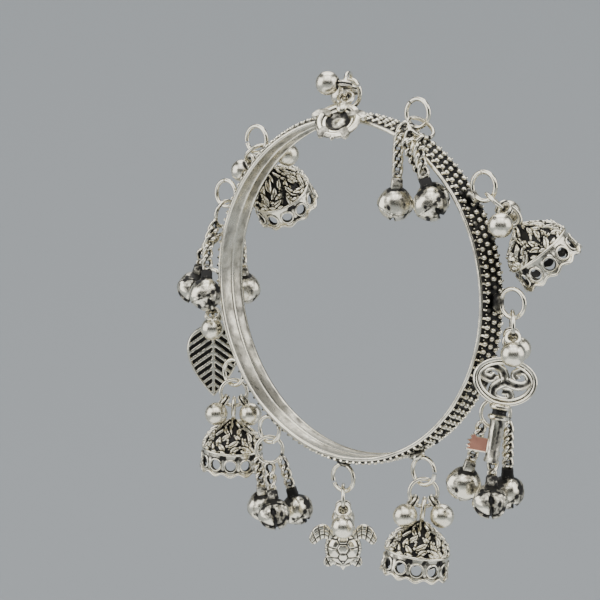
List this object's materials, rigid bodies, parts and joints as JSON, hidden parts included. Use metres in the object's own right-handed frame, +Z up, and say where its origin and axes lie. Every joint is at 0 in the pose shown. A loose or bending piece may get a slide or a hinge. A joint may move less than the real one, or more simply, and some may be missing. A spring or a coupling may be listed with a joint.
{
  "type": "charm bangle",
  "caption": "Hanging charm bangle: a grained cast ring with jump-ring charms, pierced bells, a key, turtles, a leaf, ball drops and jingle-bell chain tassels.",
  "frame": {"origin": "top of the bangle's inner face, midway across its width, where it hangs", "axes": "+Z up, +Y along the bangle's axis away from the viewer's side, +X to the side of the key charm"},
  "size_m": [0.0828, 0.0264, 0.0913],
  "materials": {
    "silver": "antique silver plate, bright on the high places and black in the hollows",
    "dark_silver": "antique silver plate, darkened between the links"
  },
  "bodies": {
    "root": {"band": "silver", "bell_right_ring": "silver", "bell_right": "silver", "bell_right_ball_1": "silver", "bell_right_ball_2": "silver", "key_ring": "silver", "key": "silver", "key_ball_1": "silver", "key_ball_2": "silver", "bell_low_ring": "silver", "bell_low": "silver", "bell_low_ball_1": "silver", "bell_low_ball_2": "silver", "turtle_low_ring": "silver", "turtle_low": "silver", "turtle_low_ball_1": "silver", "turtle_low_ball_2": "silver", "bell_left_ring": "silver", "bell_left": "silver", "bell_left_ball_1": "silver", "bell_left_ball_2": "silver", "leaf_ring": "silver", "leaf": "silver", "leaf_ball_1": "silver", "bell_back_ring": "silver", "bell_back": "silver", "bell_back_ball_1": "silver", "bell_back_ball_2": "silver", "turtle_top_ring": "silver", "turtle_top": "silver", "turtle_top_ball_1": "silver", "turtle_top_ball_2": "silver", "tassel_top_ring": "silver", "tassel_top_chain_1": "dark_silver", "tassel_top_jingle_1": "silver", "tassel_top_chain_2": "dark_silver", "tassel_top_jingle_2": "silver", "tassel_top_chain_3": "dark_silver", "tassel_top_jingle_3": "silver", "tassel_right_ring": "silver", "tassel_right_chain_1": "dark_silver", "tassel_right_jingle_1": "silver", "tassel_right_chain_2": "dark_silver", "tassel_right_jingle_2": "silver", "tassel_right_chain_3": "dark_silver", "tassel_right_jingle_3": "silver", "tassel_low_ring": "silver", "tassel_low_chain_1": "dark_silver", "tassel_low_jingle_1": "silver", "tassel_low_chain_2": "dark_silver", "tassel_low_jingle_2": "silver", "tassel_low_chain_3": "dark_silver", "tassel_low_jingle_3": "silver", "tassel_left_ring": "silver", "tassel_left_chain_1": "dark_silver", "tassel_left_jingle_1": "silver", "tassel_left_chain_2": "dark_silver", "tassel_left_jingle_2": "silver", "tassel_left_chain_3": "dark_silver", "tassel_left_jingle_3": "silver"}
  },
  "joints": []
}
